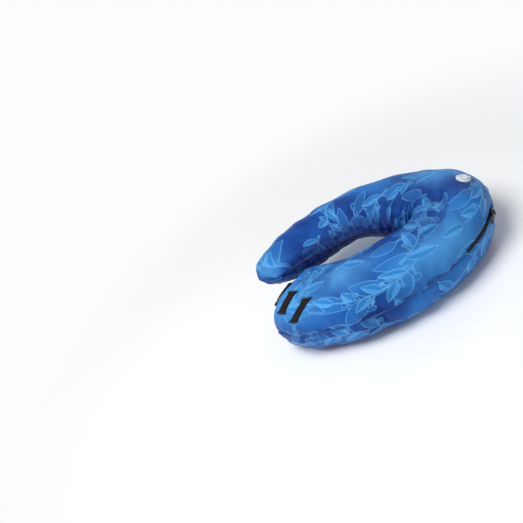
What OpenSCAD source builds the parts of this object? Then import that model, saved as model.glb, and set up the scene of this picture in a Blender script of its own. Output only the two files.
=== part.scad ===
// Inflatable recovery collar for a pet: an air bladder in a zipped cloth cover, bent into a ring,
// lying flat with its free tip lapped over its tucked end.
// Z is up and the underside lies on Z = 0. The closed bend is at +X and the two ends are at -X.
// Angles run round the ring from the bend: the tucked limb is on the -Y side, the free limb on +Y.
// Turns run round the tube's section: 0 at the outer rim, 90 at the crown, 180 at the neck side.

/* [Ring] */
// Half length of the tube's centre line, along X
ring_x = 116; // [108:1:124]
// Half breadth of the tube's centre line, along Y
ring_y = 62; // [58:1:70]
// Width of the inflated tube
tube_w = 101; // [94:1:108]
// Height of the inflated tube
tube_h = 90.5; // [82:0.5:96]
// Depth by which the floor flattens the tube
rest_press = 3; // [1:0.5:6]

/* [Free tip] */
// Angle at which the free tip ends
tip_angle = 175.5; // [172:0.5:180]
// Angle at which the free limb leaves the floor
climb_start = 28.5; // [24:0.5:40]
// Angle before the tip's end at which the climb is over
climb_rest = 12; // [8:1:20]
// Angle at which the free limb's underside has its full height
lift_full = 96; // [88:1:120]
// Height of the tip's underside over the floor
tip_lift = 54; // [53:0.5:60]
// How much further the underside has risen at the end of the tip
tip_taper = 10; // [4:0.5:14]
// Angle at which that taper starts
taper_start = 118; // [110:1:140]
// Height that the tip's crown gains over the tube's
tip_rise = 14.5; // [8:0.5:20]
// Width that the tube loses towards the tip
tip_slim = 18.5; // [12:0.5:30]
// Angle over which the tip rounds off
tip_round = 43; // [36:1:50]
// Fullness of the tip's rounding
tip_power = 3.1; // [2.2:0.1:3.4]

/* [Tucked end] */
// Angle past the closed bend at which the tucked end stops
tuck_angle = 196; // [190:1:200]
// Angle at which the tucked limb starts to sink under the tip
tuck_start = 151; // [144:1:156]
// Angle at which it lies at its lowest
tuck_full = 177; // [170:1:184]
// Height of the tucked end
tuck_h = 47; // [42:0.5:47.5]
// Width that the tube loses towards the tucked end
tuck_slim = 47; // [36:1:54]
// Angle over which the tucked end rounds off
tuck_round = 15; // [14:1:22]
// Fullness of the tucked end's rounding
tuck_power = 2.2; // [2:0.1:3]

/* [Layers] */
// Thickness of the cover cloth
cover_t = 1; // [0.8:0.1:1.6]
// Thickness of the bladder film
film_t = 0.8; // [0.5:0.1:1.2]
// Play between the cover and the bladder
layer_gap = 0.7; // [0.5:0.1:1]
// Width of the seam welt, across the cover's edge
seam_w = 2.4; // [2:0.1:2.6]
// Height of the seam welt
seam_h = 1.6; // [1.2:0.1:2.4]
// Play between pieces that lie against each other
fit_gap = 0.3; // [0.2:0.05:0.4]

/* [Flex] */
// Angle at which the closed bend flexes as the ring opens
flex_angle = 12; // [8:1:18]
// Half of the parting between the two limbs at the flex, in degrees
flex_gap = 0.15; // [0.1:0.05:0.3]

/* [Hook and loop strips] */
// Number of strips on each end
strip_count = 3; // [2:1:3]
// Width of a strip
strip_w = 10; // [8:0.5:12]
// Thickness of a strip
strip_t = 1.4; // [1:0.1:1.6]
// Angle of the loop strip that lies furthest from the tucked end
loop_angle = -135; // [-140:1:-130]
// Angle from one strip to the next
strip_pitch = 10; // [9:0.5:10.5]
// Turns of the tube's section that a loop strip runs over
loop_span = 36; // [28:1:42]
// Turn at the middle of the first loop strip
loop_turn = 42; // [36:1:48]
// Angle of the hook strip nearest to the tip
hook_angle = 157; // [154:1:159]
// Turns of the tube's section that a hook strip runs over
hook_span = 44; // [36:1:50]

/* [Zip] */
// Angle of the zip's closed end
zip_from = -20; // [-24:1:-18]
// Angle of the zip's open end
zip_to = -54; // [-60:1:-50]
// Opening of the cover along the zip
zip_mouth = 10.8; // [10.4:0.2:12]
// Height of one tape
zip_tape_h = 7.6; // [6.8:0.2:8]
// Thickness of a tape
zip_tape_t = 0.6; // [0.4:0.1:0.8]
// Depth of the tapes behind the cover's rim
zip_depth = 2.8; // [2.7:0.1:3.2]
// Pitch of the teeth
tooth_pitch = 2.5; // [2:0.25:3]
// Length of a tooth along the zip
tooth_l = 1.3; // [1:0.1:1.5]
// Height of a tooth
tooth_h = 1.7; // [1.4:0.1:2]
// Thickness of a tooth
tooth_t = 1.9; // [1.6:0.1:2]
// Length of the slider
slider_l = 11; // [9:0.5:13]
// Height of the slider, across the zip
slider_h = 9; // [8:0.2:9.4]
// Thickness of the slider's plates
plate_t = 1.1; // [0.9:0.1:1.2]
// Thickness of the slider's post, between the rows of teeth
post_t = 0.9; // [0.7:0.1:1.1]
// Radius of the pin that carries the pull
pull_pin_r = 0.8; // [0.7:0.1:1]
// Radial play of the pull on its pin
pull_play = 0.06; // [0.04:0.01:0.1]
// Length of the pull, from its pin
pull_l = 21; // [16:1:26]
// Width of the pull's grip
pull_w = 6.4; // [5:0.2:8]
// Thickness of the pull
pull_t = 1.2; // [1:0.1:1.4]

/* [Valve] */
// Angle of the valve round the ring
valve_angle = -5; // [-8:1:-4]
// Turn of the valve round the tube's section
valve_turn = 57; // [50:1:62]
// Radius of the collar that shows on the cover
collar_r = 9; // [8:0.5:11]
// Thickness of the collar
collar_t = 1.8; // [1.4:0.1:2.4]
// Outer radius of the stem
stem_r = 5.5; // [5:0.1:6]
// Radius of the air bore
bore_r = 3.5; // [3:0.1:3.8]
// Depth of the stem below the cover
stem_l = 9; // [8:0.5:12]
// Radius of the flange that is welded to the film
flange_r = 10; // [9:0.5:12]
// Thickness of the flange
flange_t = 1; // [0.8:0.1:1.4]
// Radius of the plug's cap
cap_r = 6.2; // [5.5:0.1:6.6]
// Thickness of the plug's cap
cap_t = 1.6; // [1.2:0.1:2]
// Length of the plug's pin
plug_l = 5; // [4:0.5:5.5]
// Clearance of the plug's pin at its root
plug_play = 0.35; // [0.3:0.05:0.5]
// Radius that the pin loses towards its end
plug_taper = 0.9; // [0.8:0.1:1.1]
// Width of the plug's strap
strap_w = 4.6; // [3.6:0.2:5.6]
// Radius of the check flap
flap_r = 4.6; // [4.2:0.1:5]
// Thickness of the check flap
flap_t = 0.8; // [0.6:0.1:1]

/* [Hidden] */
// Roundness of the tube's section: below 1 it is fuller than an ellipse
section_power = 0.9;
// Lift of the tucked end's point, as a share of its half height
nose_lift = 0.6;
// First part of the end rounding, which the cap of a loft closes
end_skip = 10;
// Sections of the lofts: round an end, over the loop strips, along a limb, and round half of the tube
round_steps = 7;
strip_zone_steps = 16;
limb_steps = 20;
arc_steps = 10;
// Angle up to which the sections lie closer together for the loop strips
strip_edge = loop_angle + strip_pitch;
strip_steps = 5;
// Turn and slant that each loop strip has over the one before it
loop_turn_step = 14;
loop_slant = 9;
// Smallest share of a layer that its offset leaves at a rounded end
end_share = 0.3;
// Room that the bladder leaves behind the zip
zip_room = zip_depth + zip_tape_t + plate_t + 3 * fit_gap;
// Angle over which the cover's mouth opens at each end of the zip
zip_ease = 6;
valve_rib = 0.9;
$fn = 64;

cloth = "royalblue";
film = "lightsteelblue";
welt = "midnightblue";
tape = "#2b211d";
zip_black = "#17171b";
vinyl = "whitesmoke";

// Form of the tube

function ease(x) = let (t = min(1, max(0, x))) t * t * (3 - 2 * t);
function round_off(x, p) = sqrt(max(0, 1 - pow(1 - min(1, max(0, x)), p)));
function full(v) = sign(v) * pow(abs(v), section_power);

// How far the free limb has climbed, and the tucked limb has sunk, at angle a
function climb(a) = ease((a - climb_start) / (tip_angle - climb_rest - climb_start));
function sink(a) = ease((-a - tuck_start) / (tuck_full - tuck_start));

function under_z(a) =
    tip_lift * ease((a - climb_start) / (lift_full - climb_start))
    + tip_taper * ease((a - taper_start) / (tip_angle - taper_start));
function crown_z(a) = tube_h + tip_rise * climb(a) - (tube_h - tuck_h) * sink(a);
function half_h(a) = (crown_z(a) - under_z(a)) / 2;
function half_w(a) = (tube_w - tip_slim * climb(a) - tuck_slim * sink(a)) / 2;
function swell(a) =
    round_off((tip_angle - a) / tip_round, tip_power) * round_off((a + tuck_angle) / tuck_round, tuck_power);
function mid_z(a) =
    let (k = swell(a), lift = a < 0 ? nose_lift : 1)
    under_z(a) + half_h(a) * (k + lift * (1 - k));

// Point of the tube at angle a and turn t, at a depth d below the cover's outer face
function skin(a, t, d) =
    let (w = half_w(a) * swell(a),
         h = half_h(a) * swell(a),
         r = (w - min(d, (1 - end_share) * w)) * full(cos(t)),
         sunk = min(d, (1 - end_share) * h),
         z = mid_z(a) + (h - sunk + (t < 0 ? rest_press : 0)) * full(sin(t)))
    [(ring_x + r) * cos(a), (ring_y + r) * sin(a), max(under_z(a) + sunk, z)];

// Turn at which the tube's section stands a height gap above its rim
function turn_at(a, gap) =
    asin(min(0.7, pow(gap / (half_h(a) * swell(a)), 1 / section_power)));

// Millimetres of the tube's surface for each degree round the ring
function arc_mm(a, t) = norm(skin(a + 0.5, t, 0) - skin(a - 0.5, t, 0));

function steps(a0, a1, n) = [for (i = [0 : n]) a0 + (a1 - a0) * i / n];
function end_steps(a, round) =
    [for (t = steps(end_skip, 90, round_steps)) a + round * (1 - cos(t))];
function tail(list) = [for (i = [1 : len(list) - 1]) list[i]];
function turned(list) = [for (i = [len(list) - 1 : -1 : 0]) list[i]];

near_angles = concat(
    end_steps(-tuck_angle, tuck_round),
    tail(steps(tuck_round - tuck_angle, strip_edge, strip_zone_steps)),
    tail(steps(strip_edge, flex_angle - flex_gap, limb_steps)));
far_angles = concat(
    steps(flex_angle + flex_gap, tip_angle - tip_round, limb_steps),
    tail(turned(end_steps(tip_angle, -tip_round))));

// Solid lofted through loops of points, with a flat cap at each end
module loft(loops) {
    n = len(loops[0]);
    last = (len(loops) - 1) * n;
    sides = [for (i = [0 : len(loops) - 2], j = [0 : n - 1])
        let (a = i * n + j, b = i * n + (j + 1) % n)
        each [[a, a + n, b + n], [a, b + n, b]]];
    first_cap = [for (j = [0 : n - 1]) j];
    last_cap = [for (j = [n - 1 : -1 : 0]) last + j];
    polyhedron([for (loop = loops) each loop], concat([first_cap], sides, [last_cap]));
}

// Layers

// Half of a layer of the tube: side is 1 for the upper half and -1 for the lower
function layer_loop(a, side, depth, thick, gap_out, gap_in) =
    let (t0 = turn_at(a, gap_out),
         t1 = 180 - turn_at(a, gap_in),
         turns = [for (t = steps(t0, t1, arc_steps)) side * t],
         loop = concat(
             [for (t = turns) skin(a, t, depth)],
             [for (t = turned(turns)) skin(a, t, depth + thick)]))
    side > 0 ? loop : turned(loop);

// Share of the zip's mouth that is open at angle a
function mouth(a) = ease((a - zip_to) / zip_ease + 1) * ease((zip_from - a) / zip_ease + 1);

seam_gap = seam_h / 2 + fit_gap;
function rim_gap(a) = seam_gap + (zip_mouth / 2 - seam_gap) * mouth(a);

module cover_panel(angles, side) {
    loft([for (a = angles) layer_loop(a, side, 0, cover_t, rim_gap(a), seam_gap)]);
}

module film_panel(angles, side) {
    loft([for (a = angles)
        layer_loop(a, side, cover_t + layer_gap + zip_room * mouth(a), film_t, fit_gap / 2, fit_gap / 2)]);
}

module seam_welt(angles, turn) {
    loft([for (a = angles)
        let (c = skin(a, turn, 0))
        [for (j = [0 : 5])
            let (out = seam_w / 2 * cos(60 * j)) c + [out * cos(a), out * sin(a), seam_h / 2 * sin(60 * j)]]]);
}

module cover_top_near() color(cloth) difference() {
    cover_panel(near_angles, 1);
    at_valve() cylinder(r = stem_r + fit_gap, h = 4 * flange_r, center = true);
}
module cover_bottom_near() color(cloth) cover_panel(near_angles, -1);
module cover_top_far() color(cloth) cover_panel(far_angles, 1);
module cover_bottom_far() color(cloth) cover_panel(far_angles, -1);

module bladder_upper_near() color(film) difference() {
    film_panel(near_angles, 1);
    at_valve() cylinder(r = stem_r + fit_gap, h = 4 * flange_r, center = true);
}
module bladder_lower_near() color(film) film_panel(near_angles, -1);
module bladder_upper_far() color(film) film_panel(far_angles, 1);
module bladder_lower_far() color(film) film_panel(far_angles, -1);

seam_from = tuck_round / 4 - tuck_angle;
seam_to = tip_angle - tip_round / 12;
// Section angles of a panel between two angles, so that a seam keeps to the panel's own sections
function between(angles, a0, a1) = concat([a0], [for (a = angles) if (a > a0 && a < a1) a], [a1]);
module outer_seam_near() color(welt) seam_welt(between(near_angles, seam_from, zip_to - zip_ease), 0);
module outer_seam_back() color(welt)
    seam_welt(between(near_angles, zip_from + zip_ease, flex_angle - flex_gap), 0);
module outer_seam_far() color(welt) seam_welt(between(far_angles, flex_angle + flex_gap, seam_to), 0);
module inner_seam_near() color(welt)
    seam_welt(between(near_angles, seam_from, flex_angle - flex_gap), 180);
module inner_seam_far() color(welt) seam_welt(between(far_angles, flex_angle + flex_gap, seam_to), 180);

// Hook and loop strips

// Strip of tape on the cover, along the section at angle a from turn t0 to turn t1
module strip(a, t0, t1, slant) {
    loft([for (f = steps(0, 1, strip_steps))
        let (t = t0 + (t1 - t0) * f,
             m = a + slant * (f - 0.5),
             half = strip_w / 2 / arc_mm(m, t),
             top = -fit_gap - strip_t)
        concat([for (side = [1 : -1 : -1]) skin(m + half * side, t, -fit_gap)],
            [for (side = [-1 : 1]) skin(m + half * side, t, top)])]);
}

module loop_strip(i) color(tape) {
    t = loop_turn + loop_turn_step * (i - 1);
    strip(loop_angle - strip_pitch * (i - 1), t - loop_span / 2, t + loop_span / 2, loop_slant / i);
}

module hook_strip(i) color(tape)
    strip(hook_angle - strip_pitch * (i - 1), -90 - hook_span / 2, -90 + hook_span / 2, 0);

// Zip

rim_x = ring_x + tube_w / 2;
rim_y = ring_y + tube_w / 2;
zip_mid = (zip_from + zip_to) / 2;
// Centre and radius of the round path that the zip follows along the rim
zip_centre = [
    (rim_x * rim_x - rim_y * rim_y) / rim_x * pow(cos(zip_mid), 3),
    (rim_y * rim_y - rim_x * rim_x) / rim_y * pow(sin(zip_mid), 3),
    tube_h / 2];
zip_r = pow(pow(rim_x * sin(zip_mid), 2) + pow(rim_y * cos(zip_mid), 2), 1.5) / (rim_x * rim_y);
function zip_turn(a) = atan2(rim_y * sin(a) - zip_centre.y, rim_x * cos(a) - zip_centre.x);
zip_start = zip_turn(zip_from);
zip_end = zip_turn(zip_to);
function zip_degrees(mm) = mm / zip_r * 180 / PI;
stop_l = 2 * tooth_l;
teeth = floor((zip_r * (zip_start - zip_end) * PI / 180 - 2 * stop_l) / tooth_pitch);
row_gap = post_t / 2 + fit_gap;
tooth_x = -zip_depth;

// Places its children on the zip's path, at a turn of it, with X outwards and Y along the zip
module on_zip(turn) translate(zip_centre) rotate([0, 0, turn]) translate([zip_r, 0, 0]) children();

module zip_tape(side) translate(zip_centre) rotate([0, 0, zip_end])
    rotate_extrude(angle = zip_start - zip_end)
        translate([zip_r - zip_depth - zip_tape_t, side > 0 ? row_gap : -row_gap - zip_tape_h])
            square([zip_tape_t, zip_tape_h]);

module zip_teeth(side) {
    for (i = [1 : teeth])
        on_zip(zip_end + zip_degrees(stop_l + (i - 0.5) * tooth_pitch))
            translate([tooth_x, -tooth_l / 2, side > 0 ? row_gap : -row_gap - tooth_h])
                cube([tooth_t, tooth_l, tooth_h]);
}

module zip_tape_upper() color(zip_black) zip_tape(1);
module zip_tape_lower() color(zip_black) zip_tape(-1);
module zip_teeth_upper() color(zip_black) zip_teeth(1);
module zip_teeth_lower() color(zip_black) zip_teeth(-1);

module zip_stops() color("dimgray") {
    stop_h = row_gap + tooth_h;
    for (turn = [zip_start - zip_degrees(stop_l / 2), zip_end + zip_degrees(stop_l / 2)])
        on_zip(turn)
            translate([tooth_x, -tooth_l / 2, -stop_h])
                cube([tooth_t, tooth_l, 2 * stop_h]);
}

slider_turn = zip_start - zip_degrees(stop_l + slider_l / 2 + fit_gap);
outer_x = tooth_x + tooth_t + fit_gap;
inner_x = -zip_depth - zip_tape_t - fit_gap - plate_t;
pin_x = outer_x + plate_t + pull_pin_r * 2 + fit_gap;
lug_t = 1;
eye_h = slider_h / 2 - lug_t;
lug_l = 4 * pull_pin_r;

module zip_slider() color("gray") on_zip(slider_turn) {
    for (x = [outer_x, inner_x])
        translate([x, 0, 0]) rotate([0, 90, 0]) linear_extrude(plate_t) slider_outline();
    translate([inner_x, slider_l / 2 - slider_l / 4, -post_t / 2])
        cube([outer_x + plate_t - inner_x, slider_l / 4, post_t]);
    for (side = [-1, 1])
        translate([outer_x, -lug_l / 2, side * (eye_h / 2 + fit_gap + lug_t / 2) - lug_t / 2])
            cube([pin_x + pull_pin_r * 1.6 - outer_x, lug_l, lug_t]);
    translate([pin_x, 0, 0]) cylinder(r = pull_pin_r, h = eye_h + 2 * fit_gap + lug_t, center = true);
}

// Outline of a slider plate: square at the closing end and narrowed at the other
module slider_outline() {
    h = slider_h / 2;
    polygon([[-h, slider_l / 2], [h, slider_l / 2], [h, 0], [h * 0.7, -slider_l / 2],
        [-h * 0.7, -slider_l / 2], [-h, 0]]);
}

module zip_pull() color("gray") on_zip(slider_turn) translate([pin_x, 0, 0]) {
    eye_r = pull_pin_r * 1.9;
    grip_from = 2.2 * eye_r;
    difference() {
        union() {
            cylinder(r = eye_r, h = eye_h, center = true);
            translate([-pull_t / 2, -grip_from - eye_r, -eye_h / 2]) cube([pull_t, grip_from + eye_r, eye_h]);
            rotate([0, -90, 0]) linear_extrude(pull_t, center = true) pull_outline(grip_from);
        }
        cylinder(r = pull_pin_r + pull_play, h = 2 * eye_h, center = true);
    }
}

// Outline of the pull's grip, rounded at its free end and pierced by a finger slot
module pull_outline(from) {
    r = pull_w / 2;
    difference() {
        union() {
            translate([0, r - pull_l]) circle(r);
            translate([-r, r - pull_l]) square([pull_w, pull_l - r - from]);
        }
        translate([0, r - pull_l]) circle(r / 2);
    }
}

// Valve

valve_at = skin(valve_angle, valve_turn, 0);
valve_out = cross(
    skin(valve_angle + 0.5, valve_turn, 0) - skin(valve_angle - 0.5, valve_turn, 0),
    skin(valve_angle, valve_turn - 1, 0) - skin(valve_angle, valve_turn + 1, 0));
valve_axis = -valve_out / norm(valve_out);

// Places its children on the valve: Z out of the cover, X down its slope
module at_valve() translate(valve_at)
    rotate([0, acos(valve_axis.z), atan2(valve_axis.y, valve_axis.x)]) children();

film_z = -cover_t - layer_gap - film_t;
// Fall of the film's curve at the flange's rim, and of its flat stretches below that curve
flange_fall = flange_r * flange_r / tube_h + tube_h / 2 * (1 - cos(90 / arc_steps));
flange_z = film_z - flange_fall - layer_gap;
collar_top = fit_gap + collar_t;
hinge_x = collar_r;
hinge_z = collar_top + fit_gap;

module valve_body() color(vinyl) at_valve() rotate_extrude() difference() {
    union() {
        translate([bore_r, -stem_l]) square([stem_r - bore_r, stem_l + collar_top]);
        translate([bore_r, fit_gap]) square([collar_r - bore_r - valve_rib, collar_t]);
        translate([bore_r, fit_gap]) square([collar_r - bore_r, collar_t - valve_rib]);
        translate([collar_r - valve_rib, collar_top - valve_rib]) circle(valve_rib);
        translate([bore_r, flange_z - flange_t]) square([flange_r - bore_r, flange_t]);
    }
}

module valve_plug() color(vinyl) at_valve() translate([0, 0, hinge_z]) {
    cylinder(r = cap_r, h = cap_t);
    translate([0, 0, -plug_l])
        cylinder(r1 = bore_r - plug_play - plug_taper, r2 = bore_r - plug_play, h = plug_l);
    translate([0, -strap_w / 2, 0]) cube([hinge_x, strap_w, cap_t / 2]);
}

module valve_flap() color(vinyl) at_valve()
    translate([0, 0, -stem_l - fit_gap - flap_t]) cylinder(r = flap_r, h = flap_t);

cover_top_near();
cover_bottom_near();
cover_top_far();
cover_bottom_far();
bladder_upper_near();
bladder_lower_near();
bladder_upper_far();
bladder_lower_far();
outer_seam_near();
outer_seam_back();
outer_seam_far();
inner_seam_near();
inner_seam_far();
zip_tape_upper();
zip_tape_lower();
zip_teeth_upper();
zip_teeth_lower();
zip_stops();
zip_slider();
zip_pull();
valve_body();
valve_plug();
valve_flap();
for (i = [1 : strip_count]) {
    loop_strip(i);
    hook_strip(i);
}
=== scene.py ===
import math
import random

import bmesh
import bpy
import numpy as np
from mathutils import Matrix, Vector


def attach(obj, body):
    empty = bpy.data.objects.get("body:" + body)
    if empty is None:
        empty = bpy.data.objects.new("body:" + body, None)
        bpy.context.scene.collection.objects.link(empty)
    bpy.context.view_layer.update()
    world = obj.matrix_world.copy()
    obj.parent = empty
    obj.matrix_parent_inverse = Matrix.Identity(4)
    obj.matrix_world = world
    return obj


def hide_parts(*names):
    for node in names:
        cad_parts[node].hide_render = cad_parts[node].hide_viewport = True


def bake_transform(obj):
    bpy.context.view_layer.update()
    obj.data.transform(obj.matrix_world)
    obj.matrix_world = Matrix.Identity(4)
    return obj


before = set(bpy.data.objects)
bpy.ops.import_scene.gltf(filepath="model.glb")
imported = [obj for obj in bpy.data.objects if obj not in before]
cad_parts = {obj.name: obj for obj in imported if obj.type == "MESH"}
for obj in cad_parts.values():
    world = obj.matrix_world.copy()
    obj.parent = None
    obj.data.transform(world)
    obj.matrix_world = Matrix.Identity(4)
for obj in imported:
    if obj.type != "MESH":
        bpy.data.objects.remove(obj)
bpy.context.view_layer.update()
scene = bpy.context.scene
scene.view_settings.view_transform = "Standard"
print("frame loaded:", len(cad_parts), "nodes")

tube = {  # the tube's form in metres and degrees, as the solids have it
    "ringX": 0.116, "ringY": 0.062, "width": 0.101, "height": 0.0905, "restPress": 0.003,
    "tipAngle": 175.5, "climbStart": 28.5, "climbRest": 12, "liftFull": 96, "tipLift": 0.054,
    "taperStart": 118, "tipTaper": 0.010, "tipRise": 0.0145, "tipSlim": 0.0185,
    "tipRound": 43, "tipPower": 3.1,
    "tuckAngle": 196, "tuckStart": 151, "tuckFull": 177,
    "tuckHeight": 0.047, "tuckSlim": 0.047, "tuckRound": 15, "tuckPower": 2.2,
    "sectionPower": 0.9, "girthFull": 1.01, "steepest": 0.7, "noseLift": 0.6, "flexAngle": 12,
    "tableSteps": 4001,
}


def ease(x):
    t = np.clip(x, 0, 1)
    return t * t * (3 - 2 * t)


def rise(x, start, over):  # eases from 0 at start to 1 a length further on
    return ease((x - start) / over)


def window(x, start, up, end, down):  # 1 between start and end, with an eased flank inside each
    return ease((x - start) / up) * ease((end - x) / down)


def bell(x, middle, spread):
    return np.exp(-((x - middle) / spread) ** 2)


def roundOff(x, power):
    return np.sqrt(np.clip(1 - (1 - np.clip(x, 0, 1)) ** power, 0, 1))


def fuller(v, power=tube["sectionPower"]):  # a sine or cosine bent towards a squarer section
    return np.sign(v) * np.abs(v) ** power


def tubeSizes(angle):  # half width, half height, underside and middle height of the section at an angle
    climb = rise(angle, tube["climbStart"], tube["tipAngle"] - tube["climbRest"] - tube["climbStart"])
    sink = rise(-angle, tube["tuckStart"], tube["tuckFull"] - tube["tuckStart"])
    taper = rise(angle, tube["taperStart"], tube["tipAngle"] - tube["taperStart"])
    under = tube["tipLift"] * rise(angle, tube["climbStart"], tube["liftFull"] - tube["climbStart"])
    under = under + tube["tipTaper"] * taper
    crown = tube["height"] + tube["tipRise"] * climb - (tube["height"] - tube["tuckHeight"]) * sink
    tipEnd = roundOff((tube["tipAngle"] - angle) / tube["tipRound"], tube["tipPower"])
    tuckEnd = roundOff((angle + tube["tuckAngle"]) / tube["tuckRound"], tube["tuckPower"])
    swell = tipEnd * tuckEnd
    halfHeight = (crown - under) / 2
    halfWidth = (tube["width"] - tube["tipSlim"] * climb - tube["tuckSlim"] * sink) / 2
    lift = np.where(angle < 0, tube["noseLift"], 1.0)
    middle = under + halfHeight * (swell + lift * (1 - swell))
    return halfWidth * swell, halfHeight * swell, under, middle


def tubePoint(angle, turn, lift=0.0):  # points on the tube, a lift outside its skin
    angle, turn = np.broadcast_arrays(np.asarray(angle, float), np.asarray(turn, float))
    w, h, under, middle = tubeSizes(angle)
    a, t = np.radians(angle), np.radians(turn)
    out = (w + lift) * fuller(np.cos(t))
    press = np.where(turn < 0, tube["restPress"], 0.0)
    z = np.maximum(under - lift, middle + (h + lift + press) * fuller(np.sin(t)))
    x = (tube["ringX"] + out) * np.cos(a)
    y = (tube["ringY"] + out) * np.sin(a)
    return np.stack([x, y, z], -1)


def turnAt(angle, gap):  # turn at which the section stands a gap above its rim
    halfHeight = tubeSizes(angle)[1]
    sine = np.minimum(tube["steepest"], (gap / halfHeight) ** (1 / tube["sectionPower"]))
    return np.degrees(np.arcsin(sine))


def quarterGirth(angle):  # length over the skin from the rim to the crown
    w, h, _, _ = tubeSizes(angle)
    return math.pi / 4 * (w + h) * tube["girthFull"]


angleTable = np.linspace(-tube["tuckAngle"], tube["tipAngle"], tube["tableSteps"])
alongTable = np.concatenate([[0], np.cumsum(np.hypot(
    np.diff(tube["ringX"] * np.cos(np.radians(angleTable))),
    np.diff(tube["ringY"] * np.sin(np.radians(angleTable)))))])


def along(angle):  # length along the tube's centre line, from the tucked end
    return np.interp(angle, angleTable, alongTable)


def linear(r, g, b):  # a colour as it is seen, 0 to 255, made linear
    def channel(c):
        c /= 255
        return c / 12.92 if c <= 0.04045 else ((c + 0.055) / 1.055) ** 2.4
    return (channel(r), channel(g), channel(b), 1.0)


def newObject(name, mesh, material=None):
    obj = bpy.data.objects.new(name, mesh)
    scene.collection.objects.link(obj)
    if material:
        mesh.materials.append(material)
    mesh.shade_smooth()
    return obj


def meshFrom(bm, name):
    mesh = bpy.data.meshes.new(name)
    bm.to_mesh(mesh)
    bm.free()
    return mesh


def readAll(items, key, width=1, kind=np.float32):
    values = np.zeros(len(items) * width, kind)
    items.foreach_get(key, values)
    return values


def points(mesh):
    return readAll(mesh.vertices, "co", 3).reshape(-1, 3).astype(float)


def setPoints(mesh, co):
    mesh.vertices.foreach_set("co", co.astype(np.float32).ravel())
    mesh.update()


def readMark(mesh, mark):
    return readAll(mesh.attributes[mark].data, "value").astype(float)


def writeMark(mesh, mark, values):
    found = mesh.attributes.get(mark) or mesh.attributes.new(mark, "FLOAT", "POINT")
    found.data.foreach_set("value", values.astype(np.float32))


def vertexNormals(mesh):
    return readAll(mesh.vertex_normals, "vector", 3).reshape(-1, 3).astype(float)


def cornerVertices(mesh):  # the vertex at each corner of each face
    return readAll(mesh.loops, "vertex_index", kind=np.int32)


def layFlow(mesh, u, v):  # lengths along and across the piece, in metres, as its map
    corner = cornerVertices(mesh)
    lay = np.stack([u[corner], v[corner]], -1)
    mesh.uv_layers.new(name="clothFlow").data.foreach_set("uv", lay.astype(np.float32).ravel())


def wrappedGrid(name, rows, columns, place, closed=False, marks=None):  # a grid laid on the points of place
    bm = bmesh.new()
    bmesh.ops.create_grid(bm, x_segments=rows, y_segments=columns, size=0.5)
    mesh = meshFrom(bm, name)
    u, v, _ = (points(mesh).astype(np.float32) + 0.5).T
    setPoints(mesh, place(u, v))
    for mark, values in (marks(u, v) if marks else {}).items():
        writeMark(mesh, mark, values)
    bm = bmesh.new()
    bm.from_mesh(mesh)
    if closed:
        bmesh.ops.remove_doubles(bm, verts=bm.verts[:], dist=1e-6)
        bmesh.ops.holes_fill(bm, edges=[e for e in bm.edges if e.is_boundary])
    bmesh.ops.recalc_face_normals(bm, faces=bm.faces[:])
    bm.to_mesh(mesh)
    bm.free()
    return mesh


class Nodes:  # short words for building a material's node tree
    def __init__(self, name):
        self.material = bpy.data.materials.new(name)
        self.material.use_nodes = True
        self.tree = self.material.node_tree
        self.shader = self.tree.nodes["Principled BSDF"]

    def add(self, kind, inputs=None, **settings):
        node = self.tree.nodes.new("ShaderNode" + kind)
        for key, value in settings.items():
            setattr(node, key, value)
        for key, value in (inputs or {}).items():
            self.put(node.inputs[key], value)
        return node

    def put(self, socket, value):
        if isinstance(value, bpy.types.NodeSocket):
            self.tree.links.new(value, socket)
        else:
            socket.default_value = value

    def set(self, **values):
        for key, value in values.items():
            self.put(self.shader.inputs[key.replace("_", " ")], value)

    def math(self, operation, a, b=0.0):
        return self.add("Math", {0: a, 1: b}, operation=operation).outputs[0]

    def band(self, value, low, high):  # 0 at low and 1 at high, with soft ends
        return self.add("MapRange", {"Value": value, "From Min": low, "From Max": high},
                        interpolation_type="SMOOTHSTEP").outputs[0]

    def spread(self, value, low, high, start=0.0, end=1.0):  # start to end laid out from low to high
        return self.add("MapRange", {"Value": value, "From Min": start, "From Max": end,
                                     "To Min": low, "To Max": high}).outputs[0]

    def mix(self, share, a, b):
        node = self.add("Mix", data_type="RGBA")
        for socket, value in ((0, share), (6, a), (7, b)):  # the sockets for colours
            self.put(node.inputs[socket], value)
        return node.outputs[2]

    def tint(self, under, over, where, strength):  # a colour laid over another at part strength
        return self.mix(self.math("MULTIPLY", where, strength), under, over)

    def mark(self, name):
        return self.add("Attribute", attribute_name=name).outputs["Fac"]

    def objectPlace(self):
        return self.add("TexCoord").outputs["Object"]

    def flow(self):
        return self.add("UVMap", uv_map="clothFlow").outputs[0]

    def noise(self, scale, detail=3.0, roughness=0.5, place=None):
        return self.add("TexNoise", {"Vector": place or self.objectPlace(), "Scale": scale, "Detail": detail,
                                     "Roughness": roughness}).outputs[0]

    def wave(self, place, scale, distortion, direction="X", detail=2.0):
        return self.add("TexWave", {"Vector": place, "Scale": scale, "Distortion": distortion,
                                    "Detail": detail}, bands_direction=direction).outputs[1]

    def bump(self, height, distance, strength=1.0, below=None):
        node = self.add("Bump", {"Height": height, "Distance": distance, "Strength": strength})
        if below:
            self.put(node.inputs["Normal"], below)
        return node.outputs[0]

    def finish(self, share, colours, roughness, grain, depth, strength):  # two colours over a fine grain
        self.set(Base_Color=self.mix(share, *(linear(*c) for c in colours)), Roughness=roughness,
                 Normal=self.bump(grain, depth, strength))
        return self.material


print("camera and light")
photoView = {  # camera against the collar in metres and degrees, and the photo's size in pixels
    "distance": 0.8675, "elevation": 30.7, "azimuth": 7.54, "roll": 33.81, "right": -0.14305, "up": -0.00702,
    "focal": 663.2, "photoSize": 523, "sensor": 36,
}


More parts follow.
